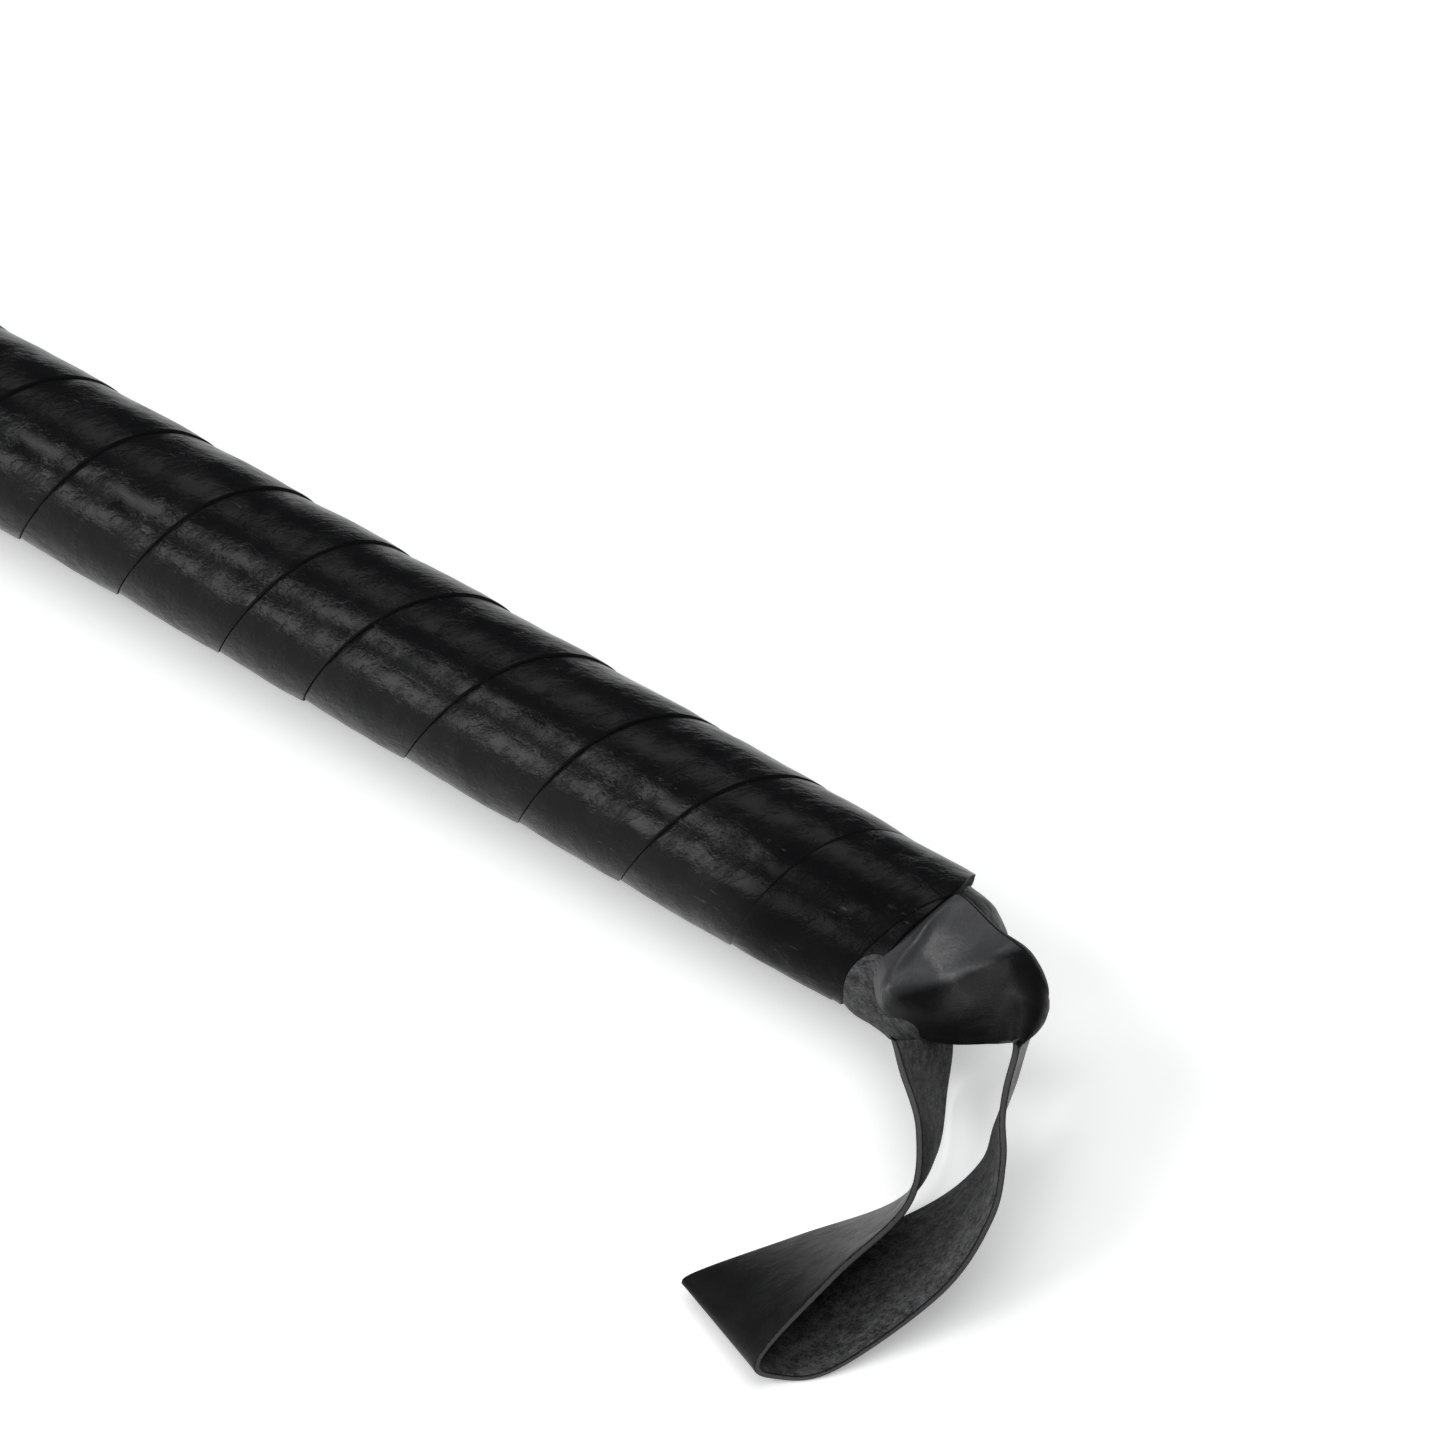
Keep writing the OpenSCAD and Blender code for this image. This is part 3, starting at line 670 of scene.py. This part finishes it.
def braided_cover():
    """Outer rings, inner rings and places on the strands of the shaft's sleeve, whose surface rises and falls as
    two sets of strands cross."""
    strands, pitch = 8, 26.0
    xs = np.arange(COLLAR_FRONT + 1.0, COVER_TIP, -0.28)
    sides = 96
    a = np.arange(sides) * 2 * math.pi / sides
    X, A = np.meshgrid(xs, a, indexing="ij")
    turn = 2 * math.pi * (X - xs[0]) / pitch
    p, q = (A + turn) * strands / (2 * math.pi), (A - turn) * strands / (2 * math.pi)
    fp, fq = p - np.floor(p) - 0.5, q - np.floor(q) - 0.5
    over = np.cos(math.pi * (np.floor(p) + np.floor(q)))
    round_p, round_q = np.sqrt(np.clip(1 - (2 * fp) ** 2, 0, 1)), np.sqrt(np.clip(1 - (2 * fq) ** 2, 0, 1))
    bow_p, bow_q = np.cos(math.pi * fq), np.cos(math.pi * fp)
    hp = round_p * (0.55 + 0.45 * over * bow_p)
    hq = round_q * (0.55 - 0.45 * over * bow_q)
    h = np.maximum(hp, hq)
    base = cover_radius(X) - 0.12
    r = base + 0.34 * (h - 0.45)
    rings = np.stack([X, r * np.cos(A), AXIS_Z + r * np.sin(A)], -1)
    top = hp > hq
    lane = np.where(top, p, q)
    along = np.where(top, q, p)
    strip = np.stack([along * 3.0, lane * 3.0, h], -1)
    inner = cover_radius(xs) - 0.62
    ring_in = np.stack([np.repeat(xs[:, None], sides, 1), inner[:, None] * np.cos(A),
                        AXIS_Z + inner[:, None] * np.sin(A)], -1)
    return rings, ring_in, strip


rings, ring_in, strip = braided_cover()
both = np.concatenate([rings, ring_in[::-1]], 0)
cover = build("shaft_cover_braid", both, strip=np.concatenate([strip, strip[::-1]], 0), materials=[BRAID],
              closed=True)
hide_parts("shaft_cover")

# ------------------------------------------------------------- tongue

TONGUE_T, TONGUE_W, NECK_W, TONGUE_LEN = 1.3, 26.0, 8.4, 62.0
NECK_X = TAB_LO - 0.4
CORNER = TONGUE_W * 0.28                                          # radius of the broad end's corners


def half_width(x):
    """Half width of the tongue at place x, smooth from the neck to its rounded broad end."""
    x = np.asarray(x, float)
    t = np.clip((NECK_X - 6 - x) / (TONGUE_LEN * 0.42), 0, 1)
    w = NECK_W / 2 + (TONGUE_W - NECK_W) / 4 * (1 - np.cos(math.pi * t))
    e = np.clip((CROP_END + CORNER - x) / CORNER, 0, 1)
    return w - CORNER * (1 - np.sqrt(np.clip(1 - e ** 2, 0, 1)))


def tongue_curl(x):
    """How far the tongue has curled up at place x."""
    return 0.9 * smooth(NECK_X - 12, CROP_END, x) ** 1.5


def tongue_leaf(name, side, mats):
    """One leather leaf: a closed slab, puffed between its stitch lines, curling a little towards its end. The tab
    end runs under the whipping and folds round the shaft."""
    xs = np.concatenate([np.linspace(WHIP_HI + 2.2, NECK_X, 34), np.linspace(NECK_X - 0.6, CROP_END + 2.0, 86),
                         CROP_END + 2.0 - 1.995 * np.sin(np.linspace(0.12, math.pi / 2, 10))])
    across = 30
    rings, strips = [], []
    for x in xs:
        tab = smooth(NECK_X - 7.0, NECK_X + 1.5, x)
        hw = float(half_width(min(x, NECK_X))) * (1 - tab) + tab * 4.6
        core = float(cover_radius(x)) + 0.04
        inner, outer = [], []
        for k in range(across + 1):
            v = 2 * k / across - 1
            v = math.sin(v * math.pi / 2) * 0.35 + v * 0.65
            y = v * hw
            ang = y / max(core + 0.4, 1)
            wrapped_in = (core * math.sin(ang), core * math.cos(ang))
            wrapped_out = ((core + 0.86) * math.sin(ang), (core + 0.86) * math.cos(ang))
            rise = 0.10 * math.exp(-((abs(v) - 0.62) / 0.3) ** 2) + 0.05 * fbm(x * 0.09, y * 0.12, side * 3.0, 3)
            edge_in = 0.16 * smooth(0.90, 1.0, abs(v))
            flat_in = (y, 0.03)
            flat_out = (y, 0.03 + TONGUE_T + rise - edge_in)
            inner.append([flat_in[i] * (1 - tab) + wrapped_in[i] * tab for i in (0, 1)])
            outer.append([flat_out[i] * (1 - tab) + wrapped_out[i] * tab for i in (0, 1)])
        curl = tongue_curl(x)
        ring = [(x, y, AXIS_Z + side * h + curl) for y, h in outer]
        ring += [(x, y, AXIS_Z + side * h + curl) for y, h in inner[::-1]]
        rings.append(ring)
        strips.append([(x, y, h - TONGUE_T / 2) for y, h in outer + inner[::-1]])
    faces = np.zeros(2 * (across + 1), int)
    faces[across + 1:2 * across + 1] = 1
    faces[across] = faces[-1] = 2
    return build(name, rings, strip=np.array(strips), faces_of=faces, materials=mats)


leaves = []
for nm, sd, nodes in (("tongue_top_leather", 1, ("tongue_top", "tongue_tab_top")),
                      ("tongue_bottom_leather", -1, ("tongue_bottom", "tongue_tab_bottom"))):
    leaf = tongue_leaf(nm, sd, (TONGUE, SUEDE, TONGUE_CUT))
    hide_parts(*nodes)
    leaves.append(leaf)

whip = winding("tip_whipping_wound", WHIP_LO + 0.4, WHIP_HI - 0.4, 22, 3.87, 0.8, WHIP, 3)
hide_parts("tip_whipping")


def stitches(name, mat):
    """Slanted stitches of twisted thread sunk in both faces of the tongue."""
    pitch, inset = 3.2, 2.2
    line = []
    x = TIP_X - TONGUE_LEN * 0.40
    while x > CROP_END + CORNER:
        line.append(x)
        x -= 0.2
    path = [(q, float(half_width(q)) - inset) for q in line]
    radius, flank = CORNER - inset, TONGUE_W / 2 - CORNER
    for a in np.linspace(0, math.pi / 2, 40):
        path.append((CROP_END + CORNER - radius * math.sin(a), flank + radius * math.cos(a)))
    path += [(CROP_END + inset, y) for y in np.linspace(flank, -flank, 60)[1:]]
    path = np.array(path + [(q, -y) for q, y in path[:len(line) + 40][::-1]])
    run = np.concatenate([[0], np.cumsum(np.linalg.norm(np.diff(path, axis=0), axis=1))])
    count = int(run[-1] // pitch)
    all_rings, all_strips = [], []
    for i in range(count):
        s0 = i * pitch + 0.35
        s = np.linspace(s0, s0 + pitch - 0.7, 11)
        px, py = np.interp(s, run, path[:, 0]), np.interp(s, run, path[:, 1])
        curl = tongue_curl(px)
        for side in (1, -1):
            hump = np.sin(np.linspace(0, math.pi, 11))
            z = AXIS_Z + curl + side * (TONGUE_T + 0.03 - 0.30 + 0.52 * hump ** 0.6)
            pts = np.c_[px, py, z]
            r, st = tube_along(pts, 0.27, 8, 2, 3.0, 0.22, taper=0.55 + 0.45 * hump ** 0.5)
            all_rings.append(r)
            all_strips.append(st + np.array([i * 7.0, 0, 0]))
    objs = [build("stitch_tmp_%d" % k, r, strip=st, materials=[mat])
            for k, (r, st) in enumerate(zip(all_rings, all_strips))]
    return joined(name, objs)


def joined(name, objs):
    """One object from several, by joining their meshes."""
    co, faces, at, mats = [], [], [], list(objs[0].data.materials)
    base = 0
    for o in objs:
        me = o.data
        v = np.zeros(len(me.vertices) * 3)
        me.vertices.foreach_get("co", v)
        co.append(v.reshape(-1, 3))
        s = np.zeros(len(me.vertices) * 3)
        me.attributes["strip"].data.foreach_get("vector", s)
        at.append(s.reshape(-1, 3))
        faces += [[base + k for k in p.vertices] for p in me.polygons]
        base += len(me.vertices)
    for o in objs:
        bpy.data.objects.remove(o)
    me = bpy.data.meshes.new(name)
    me.from_pydata(np.vstack(co).tolist(), [], faces)
    a = me.attributes.new("strip", "FLOAT_VECTOR", "POINT")
    a.data.foreach_set("vector", np.vstack(at).astype(np.float32).ravel())
    for m in mats:
        me.materials.append(m)
    me.polygons.foreach_set("use_smooth", [True] * len(faces))
    me.update()
    o = bpy.data.objects.new(name, me)
    bpy.context.scene.collection.objects.link(o)
    return o


stitching = stitches("tongue_stitching_thread", STITCH)
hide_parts("tongue_stitching")

# ------------------------------------------------------------- carried-over parts

FINISH = {
    "core_rod": plain("rod_glass_fibre", (0.62, 0.58, 0.44), (0.72, 0.69, 0.57), 0.35, stretch=(0.05, 1, 1)),
    "grip_former": plain("former_plastic", (0.02, 0.02, 0.022), (0.035, 0.035, 0.037), 0.5),
    "grip_padding": plain("padding_foam", (0.03, 0.03, 0.032), (0.06, 0.06, 0.062), 0.9, strength=0.8),
    "butt_plug": plain("plug_wood", (0.24, 0.15, 0.08), (0.36, 0.25, 0.14), 0.65, stretch=(0.1, 1, 1)),
    "strap_tacks": plain("tack_nickel", (0.50, 0.49, 0.47), (0.62, 0.61, 0.58), 0.3, metallic=1.0),
    "front_filler": plain("filler_paper", (0.16, 0.15, 0.13), (0.24, 0.22, 0.19), 0.85),
    "tail_binding": plain("binding_linen", (0.18, 0.16, 0.13), (0.28, 0.25, 0.2), 0.8),
    "tip_cap": plain("tip_brass", (0.55, 0.38, 0.15), (0.65, 0.47, 0.2), 0.3, metallic=1.0),
    "strap_tail_a": plain("tail_suede_a", (0.017, 0.017, 0.018), (0.05, 0.05, 0.052), 0.95, strength=0.8),
    "strap_tail_b": plain("tail_suede_b", (0.017, 0.017, 0.018), (0.05, 0.05, 0.052), 0.95, strength=0.8),
}
for name, mat in FINISH.items():
    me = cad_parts[name].data
    me.materials.clear()
    me.materials.append(mat)

# ------------------------------------------------------------- riding on the crop, and baked in place

for o in (strip_even, strip_odd, butt, collar, collar_cord, cover, whip):
    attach(o, "crop")
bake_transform(loop)
for o in leaves:
    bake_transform(o)
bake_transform(stitching)

# ------------------------------------------------------------- camera, floor and light

TARGET = P(-39.7, 15.8, 0.0)
AZ, EL, DIST = math.radians(38.16), math.radians(45.38), 0.8576
back = Vector((math.sin(AZ) * math.cos(EL), -math.cos(AZ) * math.cos(EL), math.sin(EL)))
cam_data = bpy.data.cameras.new("camera")
cam = bpy.data.objects.new("camera", cam_data)
bpy.context.scene.collection.objects.link(cam)
cam_data.lens = 257.4
cam_data.sensor_width = 36.0
cam_data.clip_start, cam_data.clip_end = 0.01, 50
cam.location = TARGET + back * DIST
cam.rotation_mode = "QUATERNION"
cam.rotation_quaternion = (-back).to_track_quat("-Z", "Y")
bpy.context.scene.camera = cam


def floor_plane():
    me = bpy.data.meshes.new("floor")
    s = 30.0
    me.from_pydata([(-s, -s, 0), (s, -s, 0), (s, s, 0), (-s, s, 0)], [], [(0, 1, 2, 3)])
    o = bpy.data.objects.new("floor", me)
    bpy.context.scene.collection.objects.link(o)
    m, nt, bsdf = material("floor_paper")
    bsdf.inputs["Base Color"].default_value = (0.88, 0.88, 0.88, 1)
    bsdf.inputs["Roughness"].default_value = 0.95
    bsdf.inputs["Specular IOR Level"].default_value = 0.05
    bsdf.inputs["Emission Color"].default_value = (1, 1, 1, 1)
    bsdf.inputs["Emission Strength"].default_value = 0.35
    me.materials.append(m)
    return o


floor_plane()


def softbox(name, psi, x_part, distance, width, height, radiance, glossy=True, over=-30):
    """A soft light seen from the crop at angle psi round its axis (0 is +Y, 90 is up) and x_part along it."""
    a = math.radians(psi)
    c = math.sqrt(1 - x_part ** 2)
    d = Vector((x_part, c * math.cos(a), c * math.sin(a)))
    data = bpy.data.lights.new(name, "AREA")
    data.shape = "RECTANGLE"
    data.size, data.size_y = width, height
    data.energy = radiance * math.pi * width * height
    o = bpy.data.objects.new(name, data)
    bpy.context.scene.collection.objects.link(o)
    o.location = P(over, 0, 4) + d * distance
    o.rotation_mode = "QUATERNION"
    o.rotation_quaternion = (-d).to_track_quat("-Z", "X")
    o.visible_glossy = glossy
    return o


softbox("box_top", 70, -0.43, 1.3, 0.50, 0.60, 2.0)
softbox("box_camera", 126, -0.43, 1.3, 0.26, 0.60, 8.0, over=-60)
softbox("box_front", 163, -0.43, 1.3, 0.40, 0.60, 8.0, over=-60)
softbox("fill_top", 95, 0.10, 1.6, 1.6, 1.6, 2.0, glossy=False)

world = bpy.data.worlds.new("studio")
bpy.context.scene.world = world
world.use_nodes = True
world.node_tree.nodes["Background"].inputs["Color"].default_value = (0.9, 0.95, 1.0, 1)
world.node_tree.nodes["Background"].inputs["Strength"].default_value = 0.10
bpy.context.scene.view_settings.view_transform = "Standard"
